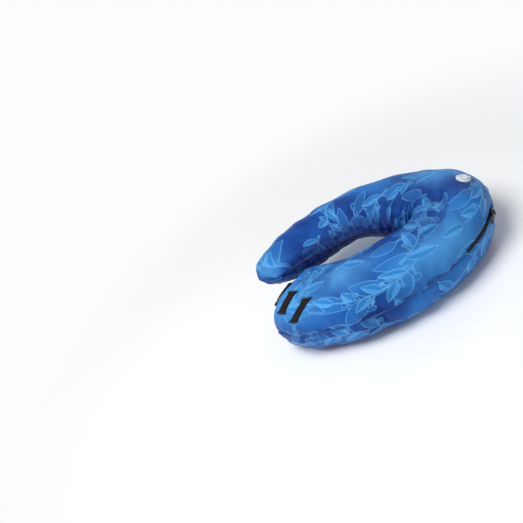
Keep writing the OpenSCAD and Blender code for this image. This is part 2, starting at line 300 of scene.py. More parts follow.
def addCamera():
    az, el, roll = (math.radians(photoView[k]) for k in ("azimuth", "elevation", "roll"))
    back = Vector((math.sin(az) * math.cos(el), -math.cos(az) * math.cos(el), math.sin(el)))
    level = Vector((math.cos(az), math.sin(az), 0))
    upright = back.cross(level)
    right = math.cos(roll) * level - math.sin(roll) * upright
    up = math.sin(roll) * level + math.cos(roll) * upright
    place = Vector((0, 0, tube["height"] / 2)) + back * photoView["distance"]
    place += right * photoView["right"] + up * photoView["up"]
    data = bpy.data.cameras.new("photoCamera")
    data.sensor_width = photoView["sensor"]
    data.lens = photoView["focal"] / photoView["photoSize"] * data.sensor_width
    camera = bpy.data.objects.new("photoCamera", data)
    camera.matrix_world = Matrix.Translation(place) @ Matrix((right, up, back)).transposed().to_4x4()
    scene.collection.objects.link(camera)
    scene.camera = camera


addCamera()

studio = {
    "world": 0.30, "worldColour": (0.96, 0.98, 1, 1), "backdrop": (0.97, 0.975, 0.985, 1),
    "floor": (0.97, 0.975, 0.98, 1), "floorSize": 30.0, "fade": (0.24, 0.62),
    "grain": 900, "grainDepth": 0.0002,
    "lamps": [  # name, place, aimed at, size, watts
        ("overhead", (-0.42, -0.30, 1.15), (-0.02, 0, 0.04), 0.75, 12.5),
        ("front", (0.25, -1.35, 0.70), (0, 0, 0.04), 0.9, 1.4),
        ("rim", (0.85, 0.80, 0.75), (0.05, 0, 0.05), 0.6, 2.4),
    ],
}


def addWorld():  # lights the collar with one strength and shows the camera the backdrop
    world = bpy.data.worlds.new("studioWorld")
    scene.world = world
    world.use_nodes = True
    tree = world.node_tree
    ambient = tree.nodes["Background"]
    ambient.inputs["Color"].default_value = studio["worldColour"]
    ambient.inputs["Strength"].default_value = studio["world"]
    kinds = ("Background", "LightPath", "MixShader")
    seen, rays, pick = (tree.nodes.new("ShaderNode" + kind) for kind in kinds)
    seen.inputs["Color"].default_value = studio["backdrop"]
    for socket, feed in enumerate((rays.outputs["Is Camera Ray"], ambient.outputs[0], seen.outputs[0])):
        tree.links.new(feed, pick.inputs[socket])
    tree.links.new(pick.outputs[0], tree.nodes["World Output"].inputs["Surface"])


def addLamps():
    for name, place, aim, size, watts in studio["lamps"]:
        data = bpy.data.lights.new(name, "AREA")
        data.shape = "DISK"
        data.size = size
        data.energy = watts
        lamp = bpy.data.objects.new(name, data)
        lamp.location = place
        lamp.rotation_euler = (Vector(aim) - Vector(place)).to_track_quat("-Z", "Y").to_euler()
        scene.collection.objects.link(lamp)


def addFloor():  # pale paper that fades into the backdrop
    bm = bmesh.new()
    bmesh.ops.create_grid(bm, x_segments=2, y_segments=2, size=studio["floorSize"])
    paper = Nodes("floorPaper")
    grain = paper.bump(paper.noise(studio["grain"], 2), studio["grainDepth"], 0.2)
    paper.set(Base_Color=studio["floor"], Roughness=0.85, Normal=grain)
    away = paper.add("VectorMath", {0: paper.objectPlace()}, operation="LENGTH").outputs["Value"]
    cameraRay = paper.add("LightPath").outputs["Is Camera Ray"]
    faded = paper.math("MULTIPLY", paper.band(away, *studio["fade"]), cameraRay)
    glow = paper.add("Emission", {"Color": studio["backdrop"]}).outputs[0]
    blend = paper.add("MixShader", {0: faded, 1: paper.shader.outputs[0], 2: glow}).outputs[0]
    paper.put(paper.tree.nodes["Material Output"].inputs["Surface"], blend)
    floor = newObject("floor", meshFrom(bm, "floor"), paper.material)


addWorld()
addLamps()
addFloor()

print("cover")
cover = {
    "sections": 208, "panelPoints": 36, "levels": 2, "endInset": 0.06, "roundWeight": 0.6, "evenWeight": 0.52,
    "seamGap": 0.0011, "seamSunk": 0.0012, "channel": 0.0042, "sunkShare": 0.4,
    "mouth": 0.0054, "zipFrom": -20, "zipTo": -54, "zipEase": 6,
    "nearCut": -50, "farCut": 70,  # angles at which the cover's pieces meet
}


def mouthShare(angle):  # 1 along the zip, easing to 0 past its ends
    lowEnd = ease((angle - cover["zipTo"]) / cover["zipEase"] + 1)
    highEnd = ease((cover["zipFrom"] - angle) / cover["zipEase"] + 1)
    return lowEnd * highEnd


def sectionAngles(count):  # closer together where the tube rounds off
    step, slimming = np.gradient(alongTable), np.gradient(tubeSizes(angleTable)[0])
    weight = cover["roundWeight"] * np.hypot(step, slimming) + cover["evenWeight"] * np.abs(step)
    total = np.concatenate([[0], np.cumsum((weight[1:] + weight[:-1]) / 2)])
    inset = cover["endInset"]
    spread = np.interp(np.linspace(0, total[-1], count + 1), total, angleTable)
    return np.clip(spread, inset - tube["tuckAngle"], tube["tipAngle"] - inset)


def coverTurns(angle, v):  # turn, sunk depth and panel at a share v round the tube, from the zip's upper edge
    n = cover["panelPoints"]
    neckColumn, rimColumn, lastColumn = n + 1, 2 * n + 3, 2 * n + 4
    column = np.rint(v * lastColumn).astype(int)
    outer = turnAt(angle, cover["seamGap"] + (cover["mouth"] - cover["seamGap"]) * mouthShare(angle))
    inner = 180 - turnAt(angle, cover["seamGap"])
    top = outer + (inner - outer) * np.clip(column, 0, n) / n
    bottom = -(inner + (outer - inner) * np.clip(column - neckColumn - 1, 0, n) / n)
    atNeck, atRim, atLast = column == neckColumn, column == rimColumn, column == lastColumn
    turn = np.select([column <= n, atNeck, atRim, atLast], [top, 180.0, 0.0, outer], bottom)
    sunk = cover["seamSunk"] * (atNeck | atRim) + cover["channel"] * mouthShare(angle) * atRim
    side = np.where((column <= n) | atLast, 1.0, -1.0)
    return turn, sunk, side


def makeCoverBase():
    angles = sectionAngles(cover["sections"])
    rows, columns = cover["sections"], 2 * cover["panelPoints"] + 4

    def place(u, v):
        angle = angles[np.rint(u * rows).astype(int)]
        turn, sunk, _ = coverTurns(angle, v)
        return tubePoint(angle, turn, -np.minimum(sunk, tubeSizes(angle)[0] * cover["sunkShare"]))

    def marks(u, v):
        angle = angles[np.rint(u * rows).astype(int)]
        turn, _, side = coverTurns(angle, v)
        return {"ringAngle": angle, "tubeTurn": np.abs(turn), "panelSide": side}

    return wrappedGrid("coverBase", rows, columns, place, closed=True, marks=marks)


def subdivided(mesh, levels):
    obj = bpy.data.objects.new("subdividing", mesh)
    scene.collection.objects.link(obj)
    finer = obj.modifiers.new("finer", "SUBSURF")
    finer.levels = finer.render_levels = levels
    finer.boundary_smooth = "PRESERVE_CORNERS"
    result = bpy.data.meshes.new_from_object(obj.evaluated_get(bpy.context.evaluated_depsgraph_get()))
    bpy.data.objects.remove(obj)
    return result


sprig = {  # a sprig of pointed leaves and berries, in millimetres and degrees
    "length": 88, "curve": 105, "stem": 1.25, "stemThick": 1.15, "stemThinning": 0.5,
    "leaves": 5, "leafLength": 31, "leafWidth": 6.1, "leafTilt": 44, "leafBase": 0.82, "leafPoint": 0.85,
    "firstLeaf": 0.1, "leafRun": 0.82, "leafShrink": 0.09, "endLeaf": 0.85, "veinStep": 4.2, "veinSlope": 1.1,
    "berry": 2.7, "firstBerry": 0.2, "berryTilt": 62,
    "stalk": 9.5, "stalkSizes": (1.2, 0.9), "stalkHalf": 0.55,
    "columnStep": 66, "rowStep": 78, "columnStray": 5, "rowStray": 4, "sway": 16, "headings": (-150, 28),
    "sizes": (0.86, 1.02), "reach": 120, "bare": 40.0, "offStem": 99.0,
    "seed": 5, "upperShift": (22, 18), "lowerShift": (51, 40),
    "ghostScale": 1.45, "ghostSeed": 25, "ghostShift": (40, 52),
}


def leafField(x, y, length, halfWidth):  # distance from a pointed leaf's edge, negative inside it
    t = np.clip(x / length, 0, 1)
    profile = halfWidth * np.sin(np.pi * t ** sprig["leafBase"]) ** sprig["leafPoint"]
    past = np.where(x < 0, -x, np.maximum(0, x - length))
    return np.where(past > 0, np.hypot(past, y), np.abs(y) - profile)


def layLeaf(field, u, v, base, heading, length, halfWidth):
    c, s = math.cos(heading), math.sin(heading)
    x = (u - base[0]) * c + (v - base[1]) * s
    y = -(u - base[0]) * s + (v - base[1]) * c
    edge = leafField(x, y, length, halfWidth)
    phase = (x - sprig["veinSlope"] * np.abs(y)) / sprig["veinStep"]
    nearer = edge < field["edge"]
    for key, values in (("edge", edge), ("side", y), ("phase", phase)):
        field[key] = np.where(nearer, values, field[key])


def layBerry(field, u, v, base, heading, stalk, scale):  # a round berry on a straight stalk
    c, s = math.cos(heading), math.sin(heading)
    lx, ly = u - base[0], v - base[1]
    run = np.clip(lx * c + ly * s, 0, stalk)
    onStalk = np.hypot(lx - run * c, ly - run * s) - sprig["stalkHalf"] * scale
    onBerry = np.hypot(lx - stalk * c, ly - stalk * s) - sprig["berry"] * scale
    field["edge"] = np.minimum(field["edge"], np.minimum(onBerry, onStalk))


def laySprig(field, u, v, base, heading, bend, scale):
    length, radius = sprig["length"] * scale, sprig["curve"] * scale * bend

    def at(t):  # place and heading on the arched stem
        turned = length * t / radius
        return (base[0] + radius * (math.sin(heading + turned) - math.sin(heading)),
                base[1] - radius * (math.cos(heading + turned) - math.cos(heading)), heading + turned)

    centre = (base[0] - radius * math.sin(heading), base[1] + radius * math.cos(heading))
    reach = np.hypot(u - centre[0], v - centre[1])
    swing = np.arctan2((v - centre[1]) * bend, (u - centre[0]) * bend) + np.pi / 2 - heading
    swing = (swing + np.pi) % (2 * np.pi) - np.pi
    t = swing * radius / length
    thick = sprig["stem"] * scale * (sprig["stemThick"] - sprig["stemThinning"] * np.clip(t, 0, 1))
    stem = np.where((t > 0) & (t < 1), np.abs(reach - abs(radius)) - thick, sprig["offStem"])
    field["edge"] = np.minimum(field["edge"], stem)
    count, halfWidth = sprig["leaves"], sprig["leafWidth"] * scale
    for i in range(count):
        flank = 1 if i % 2 else -1
        share = sprig["leafRun"] * i / count
        x, y, way = at(sprig["firstLeaf"] + share)
        size = scale * sprig["leafLength"] * (1.0 - sprig["leafShrink"] * i)
        layLeaf(field, u, v, (x, y), way + flank * math.radians(sprig["leafTilt"]), size, halfWidth)
        if i < count - 1:
            x, y, way = at(sprig["firstBerry"] + share)
            stalk = sprig["stalk"] * scale * sprig["stalkSizes"][i % 2]
            layBerry(field, u, v, (x, y), way - flank * math.radians(sprig["berryTilt"]), stalk, scale)
    x, y, way = at(1.0)
    layLeaf(field, u, v, (x, y), way, scale * sprig["leafLength"] * sprig["endLeaf"], halfWidth)


def printField(u, v, scale, seed, offset):  # half-drop rows of sprigs over a panel of cloth
    rng = random.Random(seed)
    field = {"edge": np.full(u.shape, sprig["bare"]), "side": np.zeros(u.shape), "phase": np.zeros(u.shape)}
    columnStep, rowStep = sprig["columnStep"] * scale, sprig["rowStep"] * scale
    columnStray, rowStray, sway = sprig["columnStray"], sprig["rowStray"], sprig["sway"]
    for i in range(-1, int(u.max() / columnStep) + 2):
        for j in range(-1, int(v.max() / rowStep) + 2):
            other = (i + j) % 2
            cu = i * columnStep + offset[0] + rng.uniform(-columnStray, columnStray)
            cv = (j + 0.5 * (i % 2)) * rowStep + offset[1] + rng.uniform(-rowStray, rowStray)
            heading = math.radians(rng.uniform(-sway, sway) + sprig["headings"][other])
            size = scale * rng.uniform(*sprig["sizes"])
            close = np.hypot(u - cu, v - cv) < sprig["reach"] * scale
            if not close.any():
                continue
            part = {key: values[close] for key, values in field.items()}
            half = sprig["length"] * size / 2
            base = (cu - half * math.cos(heading), cv - half * math.sin(heading))
            laySprig(part, u[close], v[close], base, heading, 1 if other else -1, size)
            for key in field:
                field[key][close] = part[key]
    return field


paintedHighlights = [  # painted highlights, pale patches of the upper panel where the light falls: angle, turn, spread along the ring and round the tube
    (-147, 58, 26, 38),
    (-112, 82, 20, 24),
    (28, 70, 30, 34),
    (-62, 40, 22, 30),
    (168, 60, 14, 40),
]


# share of painted highlight at each point, on the upper panel only
def highlightShare(angle, turn, side):
    share = np.zeros(len(angle))
    for middle, over, wide, high in paintedHighlights:
        share = np.maximum(share, bell(angle, middle, wide) * bell(turn, over, high))
    return np.where(side > 0, share, 0)


def markPrint(mesh):
    angle, turn, side = (readMark(mesh, m) for m in ("ringAngle", "tubeTurn", "panelSide"))
    u = along(angle) * 1000  # millimetres, as the sprigs
    girth = quarterGirth(angle) * 1000
    v = turn / 90 * girth
    marks = {m: np.zeros(len(u)) for m in ("leafEdge", "leafSide", "leafPhase", "ghostEdge")}
    for panel, own, shift in ((1, side > 0, sprig["upperShift"]), (-1, side <= 0, sprig["lowerShift"])):
        leaf = printField(u[own], v[own], 1.0, sprig["seed"] + panel, shift)
        ghostShift = np.add(shift, sprig["ghostShift"])
        ghost = printField(u[own], v[own], sprig["ghostScale"], sprig["ghostSeed"] + panel, ghostShift)
        marks["leafEdge"][own] = leaf["edge"]
        marks["leafSide"][own] = leaf["side"]
        marks["leafPhase"][own] = leaf["phase"]
        marks["ghostEdge"][own] = ghost["edge"]
    # painted highlight: pale patches on the upper panel, stored as a mark for the cloth's colour
    marks["paintedHighlight"] = highlightShare(angle, turn, side)
    marks["seamAway"] = np.minimum(v, 2 * girth - v)
    for mark, values in marks.items():
        writeMark(mesh, mark, values)
    layFlow(mesh, u / 1000, v / 1000)


gathers = {  # puckers along the seams, folds and hollows, and the painted shade laid in them, in metres and degrees
    "outerDepth": 0.0008, "outerReach": 0.011, "outerStep": 0.0125,
    "rimDepth": 0.0016, "rimReach": 0.030, "rimStep": 0.047, "rimStretch": 1.35, "zipCalm": 0.9,
    "innerDepth": 0.0009, "innerReach": 0.014, "innerStep": 0.011, "innerStretch": 0.72,
    "sway": (1.7, 1.3), "second": (0.6, 1.62), "slowSway": (2, 0.47),  # what makes the puckers uneven
    "foldDepth": 0.0034, "foldMiddle": 4, "foldSpread": 44, "foldStep": 8.5, "foldPower": 0.6,
    "foldSway": 3, "foldSwayStep": 11, "foldTurns": (96, 62, 200, 20), "foldShade": 0.3,
    "bowlDepth": 0.0055, "bowlTurn": 89, "bowlFall": 26, "bowlFrom": -6, "bowlTo": -60,
    "bowlPast": 8, "bowlFlank": 16, "bowlEdge": 9, "bowlEnd": (150, 55),
    "grooveDepth": 0.0038, "grooveWide": 4.2, "grooveIn": 4, "grooveAngles": (-98, 60, -4, 18),
    "grooveShade": 0.55,
    "bulge": 0.006, "bulgeMiddle": -141, "bulgeSpread": 24, "bulgeTurns": (92, 34, 182, 30),
    "sag": 0.003, "sagMiddle": 138, "sagSpread": 30, "sagTurns": (118, 24, 182, 20),
    # where painted shade lies: under the lapped free limb and on the tucked end
    "lapAngle": (25, 30), "lapTurn": (120, 45),
    "tuckAngle": (138, 22), "tuckTurn": (96, 30), "tuckShade": 0.6,
}


def ripple(s, step):  # an uneven wave along a seam
    (sway, rate), (share, longer), (slowSway, slowRate) = (gathers[k] for k in ("sway", "second", "slowSway"))
    first = np.sin(2 * np.pi * s / step + sway * np.sin(s / step * rate))
    second = np.sin(2 * np.pi * s / (step * longer) + slowSway * np.sin(s / step * slowRate))
    return first + share * second


def pucker(kind, run, away):  # dies out away from its seam
    wave = ripple(run, gathers[kind + "Step"])
    return gathers[kind + "Depth"] * wave * np.exp(-away / gathers[kind + "Reach"])


def gatherSeams(mesh):
    g = gathers
    angle, turn = readMark(mesh, "ringAngle"), readMark(mesh, "tubeTurn")
    upper = readMark(mesh, "panelSide") > 0
    co, normal = points(mesh), vertexNormals(mesh)
    girth = quarterGirth(angle)
    outer = turn / 90 * girth
    rim, hem = along(angle) * g["rimStretch"], along(angle) * g["innerStretch"]
    plain = 1 - g["zipCalm"] * mouthShare(angle)
    push = plain * (pucker("outer", rim, outer) + pucker("rim", rim, outer))
    push += pucker("inner", hem, 2 * girth - outer)

    reach = bell(angle, g["foldMiddle"], g["foldSpread"]) * window(turn, *g["foldTurns"])
    fold = (angle + g["foldSway"] * np.sin(angle / g["foldSwayStep"])) / g["foldStep"]
    crease = 1 - np.abs(np.sin(np.pi * fold)) ** g["foldPower"]
    push -= g["foldDepth"] * reach * crease

    fallen = ease((g["bowlFrom"] - angle) / (g["bowlFrom"] - g["bowlTo"]))
    brink = g["bowlTurn"] - g["bowlFall"] * fallen
    bowl = window(angle, g["bowlTo"], g["bowlFlank"], g["bowlFrom"] + g["bowlPast"], g["bowlFlank"])
    push -= upper * g["bowlDepth"] * bowl * window(turn, brink, g["bowlEdge"], *g["bowlEnd"])
    groove = upper * window(angle, *g["grooveAngles"]) * bell(turn, brink + g["grooveIn"], g["grooveWide"])
    push -= g["grooveDepth"] * groove

    shoulder = bell(angle, g["bulgeMiddle"], g["bulgeSpread"]) * window(turn, *g["bulgeTurns"])
    slack = bell(angle, g["sagMiddle"], g["sagSpread"]) * window(turn, *g["sagTurns"])
    push += np.where(upper, g["bulge"] * shoulder, g["sag"] * slack)
    setPoints(mesh, co + normal * push[:, None])

    # painted shade: dark in the folds, along the groove, under the lapped free limb and on the tucked end
    lapShade = rise(angle, *g["lapAngle"]) * rise(turn, *g["lapTurn"])
    tucked = upper * rise(-angle, *g["tuckAngle"]) * rise(turn, *g["tuckTurn"])
    folds = np.clip(reach * (g["foldShade"] + crease), 0, 1)
    shades = [folds, lapShade, g["grooveShade"] * groove, g["tuckShade"] * tucked]
    writeMark(mesh, "hollowShade", np.maximum.reduce(shades))


clothBlues = {  # colours of the print, as seen, with the painted highlight colour (cloud) and the painted shade colours (hollowShade, seamShade)
    "deep": (2, 44, 126), "ground": (12, 84, 172), "drift": (44, 132, 212), "cloud": (88, 166, 228),
    "ghost": (54, 140, 214), "ghostLine": (112, 186, 240),
    "leafShade": (48, 132, 206), "leaf": (84, 168, 232), "leafLine": (124, 198, 244),
    "vein": (26, 98, 180), "rib": (22, 92, 176), "hollowShade": (22, 20, 88), "seamShade": (30, 44, 118),
    "threads": (150, 195, 235), "sheen": (90, 160, 255), "shine": (120, 184, 255),
}


def clothPrintAndPaintedLight(n, place, cloud, blue):  # the cloth's colour: printed ground, painted highlights, ghost leaves, leaves, then painted shade in the hollows and along the seams
    drift = n.noise(7, 2, 0.5, place)
    ground = n.mix(n.band(cloud, 0.34, 0.66), blue["deep"], blue["ground"])
    ground = n.tint(ground, blue["drift"], n.band(drift, 0.5, 0.72), 0.75)
    # painted highlight: the pale highlight colour laid over the ground in the highlight patches
    highlightMask = n.math("MULTIPLY", n.mark("paintedHighlight"), n.band(cloud, 0.2, 0.62))
    ground = n.tint(ground, blue["cloud"], highlightMask, 0.8)
    ghost = n.mark("ghostEdge")
    ground = n.tint(ground, blue["ghost"], n.band(ghost, 1.2, -1.2), 0.3)
    ground = n.tint(ground, blue["ghostLine"], n.band(n.math("ABSOLUTE", ghost), 0.9, 0.2), 0.45)
    edge, side = n.mark("leafEdge"), n.mark("leafSide")
    leaf = n.mix(n.band(side, -0.9, 0.9), blue["leafShade"], blue["leaf"])
    vein = n.math("SINE", n.math("MULTIPLY", n.mark("leafPhase"), 2 * math.pi))
    leaf = n.tint(leaf, blue["vein"], n.band(vein, 0.6, 0.98), 0.4)
    leaf = n.tint(leaf, blue["rib"], n.band(n.math("ABSOLUTE", side), 0.8, 0.25), 0.55)
    leaf = n.tint(leaf, blue["leafLine"], n.band(edge, -1.8, -0.4), 0.5)
    shown = n.math("MULTIPLY", n.band(edge, 0.8, -0.8), n.spread(cloud, 0.35, 0.95, 0.25, 0.6))
    painted = n.mix(shown, ground, leaf)
    # painted shade: dark purple in the folds, the groove, under the lapped limb and on the tucked end
    painted = n.tint(painted, blue["hollowShade"], n.mark("hollowShade"), 0.8)
    # painted shade: a darker band along the seams
    return n.tint(painted, blue["seamShade"], n.band(n.mark("seamAway"), 6.0, 0.5), 0.15)


def coverCloth():
    n = Nodes("coverCloth")
    blue = {key: linear(*colour) for key, colour in clothBlues.items()}
    place, flow = n.objectPlace(), n.flow()
    cloud = n.noise(16, 4, 0.55, place)
    painted = clothPrintAndPaintedLight(n, place, cloud, blue)
    warp, weft = (n.wave(flow, 680, 0.6, way, 1) for way in "XY")
    weave = n.math("MULTIPLY", warp, weft)
    soft = n.bump(n.noise(120, 3, 0.6, place), 0.0006, 0.25)
    n.set(Base_Color=n.tint(painted, blue["threads"], weave, 0.06), Normal=n.bump(weave, 0.00018, 0.5, soft))
    n.set(Roughness=n.spread(cloud, 0.38, 0.5), Specular_IOR_Level=0.4, Specular_Tint=blue["shine"])
    n.set(Sheen_Weight=0.05, Sheen_Roughness=0.4, Sheen_Tint=blue["sheen"])
    return n.material


def separateCover(mesh, material):  # the near limb, the closed bend and the free limb
    names = ["coverNear", "coverBack", "coverFar"]

    def part(angle):  # 0, 1 or 2, in the order of the names
        return (angle > cover["nearCut"]).astype(np.int32) + (angle > cover["farCut"])

    starts, totals = (readAll(mesh.polygons, key, kind=np.int32) for key in ("loop_start", "loop_total"))
    faceAngle = np.add.reduceat(readMark(mesh, "ringAngle")[cornerVertices(mesh)], starts) / totals
    obj = newObject("coverWhole", mesh)
    mesh.materials.clear()
    for name in names:
        mesh.materials.append(bpy.data.materials.new(name))
    mesh.polygons.foreach_set("material_index", part(faceAngle))
    bpy.ops.object.select_all(action="DESELECT")
    bpy.context.view_layer.objects.active = obj
    obj.select_set(True)
    bpy.ops.object.mode_set(mode="EDIT")
    bpy.ops.mesh.select_all(action="SELECT")
    bpy.ops.mesh.separate(type="MATERIAL")
    bpy.ops.object.mode_set(mode="OBJECT")
    pieces = {}
    for piece in list(bpy.context.selected_objects):
        name = names[part(readMark(piece.data, "ringAngle").mean())]
        piece.name = piece.data.name = name
        piece.data.materials.clear()
        piece.data.materials.append(material)
        piece.data.shade_smooth()
        pieces[name] = piece
        piece.select_set(False)
    return pieces


def bends(piece):
    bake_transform(piece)


strips = {  # sewn hook and loop tapes, in metres and degrees
    "count": 3, "width": 0.010, "thick": 0.0014, "gap": 0.0003, "pitch": 10,
    "flare": 0.2, "flareSpan": (0.6, 0.3),
    "loopAngle": -135, "loopTurn": 42, "loopTurnStep": 14, "loopSpan": 36, "loopSlant": 9,
    "hookAngle": 157, "hookTurn": -90, "hookTurnStep": 0, "hookSpan": 44, "hookSlant": 0,
    "rows": 60, "columns": 28, "spineSteps": 40, "flatPower": 0.3, "highPower": 0.45, "endLeast": 0.93,
    "endRound": 0.0015, "stitchStep": 0.0026, "stitchInset": 0.0013, "stitchSize": (0.0021, 0.0005, 0.0005),
    "tackEnds": (0.045, 0.955), "tackStitches": 19, "tackPitch": 0.00068, "tackStagger": 0.014,
    "tackSize": (0.00351, 0.0009, 0.0013), "stepAhead": 0.01, "stepAside": 0.0005,
    "loopColours": ((20, 15, 18), (84, 62, 56)), "loopGrain": 1500,
    "hookColours": ((18, 17, 19), (58, 54, 56)), "hookGrain": 1600,
    "wornColour": (58, 40, 62), "hemColour": (10, 8, 12), "tackColours": ((8, 8, 10), (34, 32, 34)),
}
valve = {  # in metres and degrees; heights from the cover's face
    "angle": -5, "turn": 57, "collar": 0.009, "collarThick": 0.0018, "gap": 0.0003, "bore": 0.0035,
    "stem": 0.0055, "stemLong": 0.009, "flange": 0.010, "flangeThick": 0.001, "flangeDrop": 0.0040,
    "cap": 0.0062, "capThick": 0.0016, "plugLong": 0.005, "plugPlay": 0.00035, "plugTaper": 0.0009,
    "dish": 0.66, "dishDeep": 0.0006, "strap": 0.0046, "strapFrom": 0.6, "strapRound": 0.0003,
    "round": 0.0006, "steps": 56, "shadeAngle": 40, "colours": ((226, 231, 238), (204, 212, 224)),
}
puff = {  # cloth simulation of the inflated cover, and how far from sewn-on pieces it takes hold, in degrees
    "cloth": {"quality": 6, "mass": 0.3, "tension_stiffness": 15, "compression_stiffness": 15,
              "bending_stiffness": 0.4, "shrink_min": -0.035, "use_pressure": True,
              "uniform_pressure_force": 4.0},
    "frames": 20, "cap": 0.0030, "heldTurn": 4, "floorLift": 0.0002, "stripHalf": 6, "stripClear": 9,
    "valveClear": 15, "valveHold": 0.7, "valveRound": 0.6, "seamClear": 7, "seamHold": 0.3,
    "zipTurn": 30, "zipFade": 16, "lapShare": 0.35, "lapTuck": -150, "lapTip": 130,
}


def stripLie(kind, i):  # angle, first and last turn, and slant of a strip
    middle, half = strips[kind + "Turn"] + strips[kind + "TurnStep"] * i, strips[kind + "Span"] / 2
    angle = strips[kind + "Angle"] - strips["pitch"] * i
    return angle, middle - half, middle + half, strips[kind + "Slant"] / (i + 1)


def stillParts(angle, turn, side):  # 1 where the cloth carries nothing, 0 under sewn-on pieces
    upper = side > 0
    far = np.abs(angle - valve["angle"]) + np.abs(turn - valve["turn"]) * puff["valveRound"]
    free = np.where(upper, ease(far / puff["valveClear"] - puff["valveHold"]), 1)
    for i in range(strips["count"]):
        for kind, own in (("loop", upper), ("hook", ~upper)):
            at, first, last, _ = stripLie(kind, i)
            beside = np.maximum(0, np.abs(angle - at) - puff["stripHalf"])
            beyond = np.maximum(0, np.abs(turn - abs(first + last) / 2) - (last - first) / 2)
            free *= np.where(own, ease(np.hypot(beside, beyond) / puff["stripClear"]), 1)
    free *= ease(np.minimum(turn, 180 - turn) / puff["seamClear"] - puff["seamHold"])
    free *= 1 - mouthShare(angle) * ease((puff["zipTurn"] - turn) / puff["zipFade"])
    lapped = np.where(upper, angle < puff["lapTuck"], angle > puff["lapTip"])
    return free * np.where(lapped, puff["lapShare"], 1)


def inflate(mesh):
    obj = newObject("inflating", mesh)
    rest = points(mesh)
    angle, turn, side = (readMark(mesh, m) for m in ("ringAngle", "tubeTurn", "panelSide"))
    held = obj.vertex_groups.new(name="seamHeld")
    rim = np.minimum(turn, 180 - turn) < puff["heldTurn"]
    held.add(np.nonzero(rim)[0].tolist(), 1.0, "REPLACE")
    cloth = obj.modifiers.new("inflate", "CLOTH")
    for setting, value in puff["cloth"].items():
        setattr(cloth.settings, setting, value)
    cloth.settings.vertex_group_mass = held.name
    cloth.settings.effector_weights.gravity = 0
    cloth.collision_settings.use_collision = False
    cloth.point_cache.frame_start, cloth.point_cache.frame_end = 1, puff["frames"]
    for number in range(1, puff["frames"] + 1):
        scene.frame_set(number)
    result = obj.evaluated_get(bpy.context.evaluated_depsgraph_get()).to_mesh()
    move = points(result) - rest
    scene.frame_set(1)
    far = np.linalg.norm(move, axis=1)
    most, mean = far.max() * 1000, far.mean() * 1000
    print("cloth moved up to", round(most, 1), "mm, on average", round(mean, 2), "mm")
    eased = puff["cap"] * np.tanh(far / puff["cap"]) / np.maximum(far, 1e-9)
    move *= (eased * stillParts(angle, turn, side))[:, None]
    bpy.data.objects.remove(obj)
    moved = rest + move
    moved[:, 2] = np.maximum(moved[:, 2], np.minimum(rest[:, 2], puff["floorLift"]))
    setPoints(mesh, moved)


coverBase = makeCoverBase()
inflate(coverBase)
coverMesh = subdivided(coverBase, cover["levels"])
gatherSeams(coverMesh)
markPrint(coverMesh)
coverPieces = separateCover(coverMesh, coverCloth())
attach(coverPieces["coverNear"], "near_limb")
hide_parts("cover_top_near", "cover_bottom_near")
bends(coverPieces["coverBack"])
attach(coverPieces["coverFar"], "far_limb")
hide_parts("cover_top_far", "cover_bottom_far")
print("cover vertices:", {k: len(p.data.vertices) for k, p in coverPieces.items()})

print("seams")
seam = {  # welt between the panels, in metres and degrees
    "width": 0.0026, "height": 0.0019, "rowStep": 0.0006, "columns": 10, "stitch": 0.0023, "twist": 0.13,
    "sunk": 0.0002, "nearEnd": -191.5, "farEnd": 173.0, "pathSteps": 3000,
    "endRound": 0.002, "endLeast": 0.02,
    # the inner thread is a darker copy of the outer: painted shade for the seam on the shaded inner side
    "outerColours": ((12, 50, 132), (26, 86, 172)), "innerColours": ((14, 18, 74), (24, 40, 110)),
}


# outer thread in the cloth's blue; inner thread darker, as painted shade
def seamThread(side):
    n = Nodes(side + "Thread")
    strands = n.wave(n.flow(), 900, 1.5, "DIAGONAL")
    n.set(Sheen_Weight=0.2)
    return n.finish(strands, seam[side + "Colours"], 0.62, strands, 0.0002, 0.5)


def seamPiece(name, fromAngle, toAngle, turn, material):
    fine = np.linspace(fromAngle, toAngle, seam["pathSteps"])
    path = tubePoint(fine, turn)
    run = np.concatenate([[0], np.cumsum(np.linalg.norm(np.diff(path, axis=0), axis=1))])
    rows = int(run[-1] / seam["rowStep"])
    outWay = 1 if turn == 0 else -1
    least = seam["endLeast"]

    def place(u, v):
        length = u * run[-1]
        angle = np.interp(length, run, fine)
        base = tubePoint(angle, turn)
        phi = 2 * np.pi * v
        ripple = 1 + seam["twist"] * np.sin(2 * np.pi * length / seam["stitch"] + 2 * phi)
        ends = roundOff(np.minimum(length, run[-1] - length) / seam["endRound"], 2.0) * (1 - least) + least
        out = (np.cos(phi) * seam["width"] / 2 * ripple * ends - seam["sunk"]) * outWay
        a = np.radians(angle)
        base[:, 0] += out * np.cos(a)
        base[:, 1] += out * np.sin(a)
        base[:, 2] += np.sin(phi) * seam["height"] / 2 * ripple * ends
        return base

    def marks(u, v):
        return {"flowU": u * run[-1], "flowV": v * seam["width"] * math.pi}

    mesh = wrappedGrid(name, rows, seam["columns"], place, closed=True, marks=marks)
    layFlow(mesh, readMark(mesh, "flowU"), readMark(mesh, "flowV"))
    obj = newObject(name, mesh, material)
    return obj


def addSeams():
    zipLow, zipHigh = cover["zipTo"] - cover["zipEase"], cover["zipFrom"] + cover["zipEase"]
    stops = {"outer": (0, zipLow, zipHigh), "inner": (180, cover["nearCut"], cover["nearCut"])}
    for side, (turn, nearStop, backStart) in stops.items():
        thread = seamThread(side)
        near = seamPiece(side + "SeamNear", seam["nearEnd"], nearStop, turn, thread)
        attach(near, "near_limb")
        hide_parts(side + "_seam_near")
        back = seamPiece(side + "SeamBack", backStart, cover["farCut"], turn, thread)
        bends(back)
        far = seamPiece(side + "SeamFar", cover["farCut"], seam["farEnd"], turn, thread)
        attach(far, "far_limb")
        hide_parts(side + "_seam_far")
        if side == "outer":
            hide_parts("outer_seam_back")


addSeams()

print("strips")


